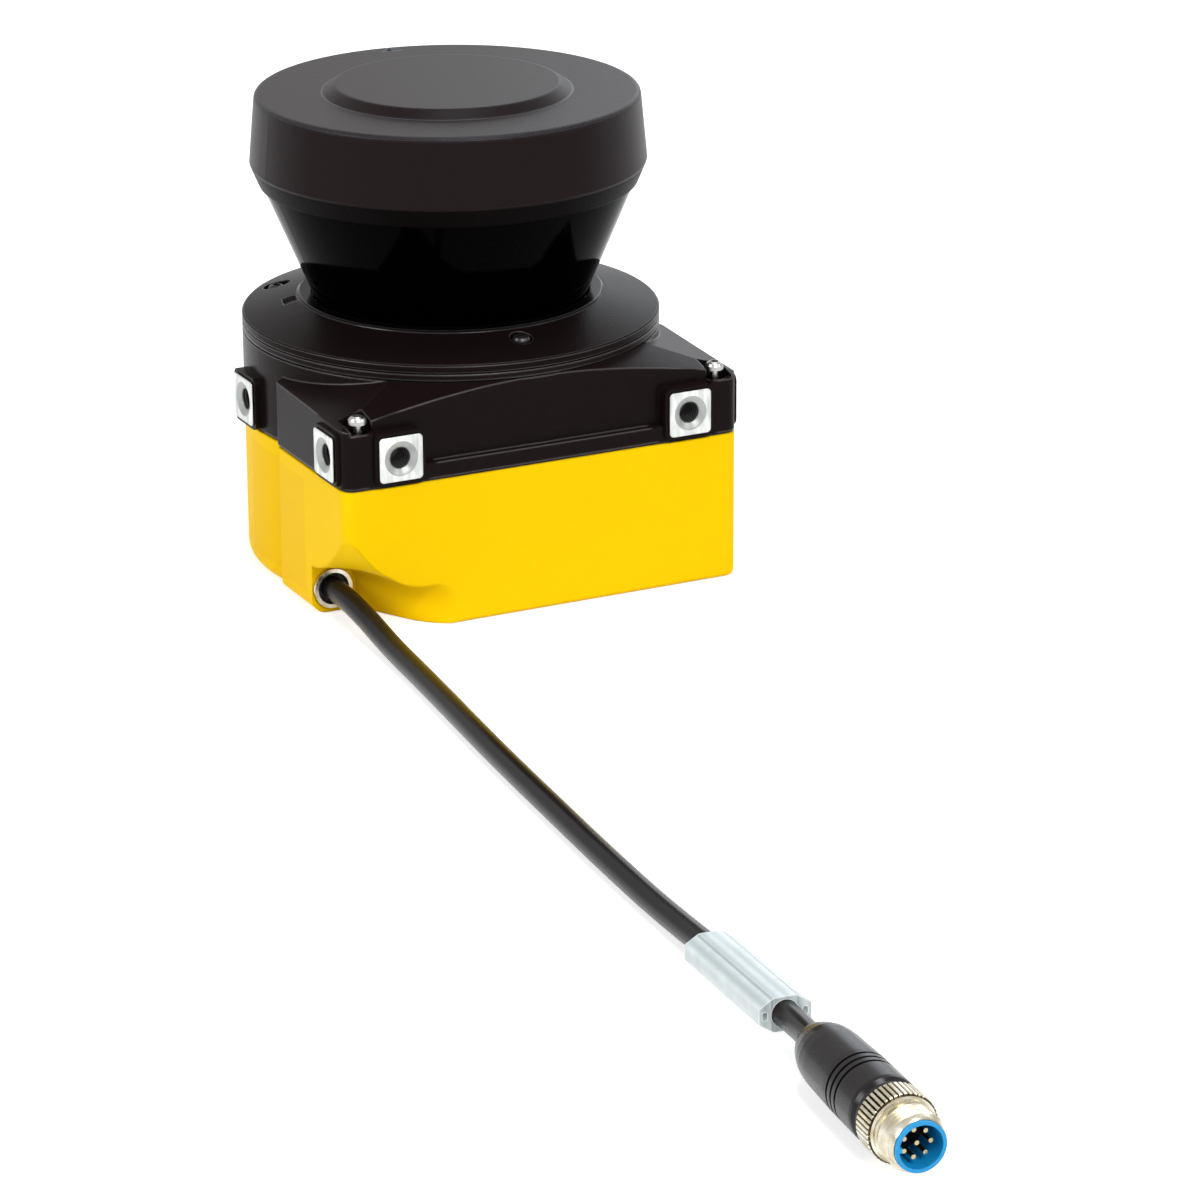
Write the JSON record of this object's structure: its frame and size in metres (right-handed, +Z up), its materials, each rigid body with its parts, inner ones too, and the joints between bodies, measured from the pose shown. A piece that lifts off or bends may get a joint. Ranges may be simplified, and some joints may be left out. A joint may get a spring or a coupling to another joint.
{
  "type": "safety laser scanner",
  "caption": "Compact safety laser scanner: yellow base with a round front, black casting with milled pads, conical optics cover, round cap, short cable with a screw plug.",
  "frame": {"origin": "where the scan axis meets the base plane", "axes": "+Z up along the scan axis, +Y towards the flat rear face, -Y the direction in which the scanner looks, +X towards the side with the cable outlet"},
  "size_m": [0.1305, 0.4049, 0.116],
  "materials": {
    "yellow_paint": "satin paint",
    "gasket_rubber": "matte",
    "black_paint": "fine textured semi-gloss paint",
    "steel": "plain",
    "black_steel": "blackened",
    "black_ring": "gloss",
    "cover_plastic": "polished",
    "cap_plastic": "fine grain",
    "window_plastic": "polished",
    "clear_plastic": "clear",
    "circuit_board": "solder mask",
    "dark_plastic": "plain",
    "aluminium": "plain",
    "copper": "enamelled wire",
    "magnet": "plain",
    "mirror_glass": "polished",
    "lens_glass": "coated",
    "brass": "plain",
    "nickel": "nickel plate",
    "cable_rubber": "matte",
    "cable_sheath": "smooth",
    "sleeve_plastic": "clear and slightly frosted",
    "plug_plastic": "smooth",
    "blue_plastic": "plain",
    "gold_plate": "gold plate"
  },
  "bodies": {
    "housing": {"base_housing": "yellow_paint", "base_gasket": "gasket_rubber", "upper_casting": "black_paint", "corner_screws": "steel", "flange_plate": "black_paint", "flange_screws": "black_steel", "cover_collar": "black_ring", "optics_cover": "cover_plastic", "top_cap": "cap_plastic", "display_window": "window_plastic", "light_guides": "clear_plastic", "display_board": "circuit_board", "rear_column": "dark_plastic", "motor_bracket": "aluminium", "motor_can": "aluminium", "motor_windings": "copper", "motor_bearings": "steel", "encoder_sensor": "dark_plastic", "lens_holder": "dark_plastic", "receiver_lens": "lens_glass", "lens_ring": "dark_plastic", "laser_module": "brass", "receiver_board": "circuit_board", "main_board": "circuit_board", "power_board": "circuit_board", "board_spacers": "steel", "board_screws": "steel", "gland_ring": "nickel", "gland_grommet": "cable_rubber", "cord": "cable_sheath", "marker_sleeve": "sleeve_plastic", "plug_body": "plug_plastic", "plug_insert": "blue_plastic", "plug_pins": "gold_plate"},
    "mirror_rotor": {"motor_shaft": "steel", "rotor_magnet": "magnet", "mirror_carrier": "dark_plastic", "scan_mirror": "mirror_glass", "encoder_disc": "steel"},
    "coupling_nut": {"plug_nut": "nickel"}
  },
  "joints": [
    {"name": "mirror_spin", "type": "hinge", "parent": "housing", "child": "mirror_rotor", "pos_m": [0, 0, 0.1], "axis": [0, 0, 1], "continuous": true},
    {"name": "nut_turn", "type": "hinge", "parent": "housing", "child": "coupling_nut", "pos_m": [0.07146, 0.35081, 0.0073], "axis": [0.0924, 0.9957, 0], "continuous": true}
  ]
}
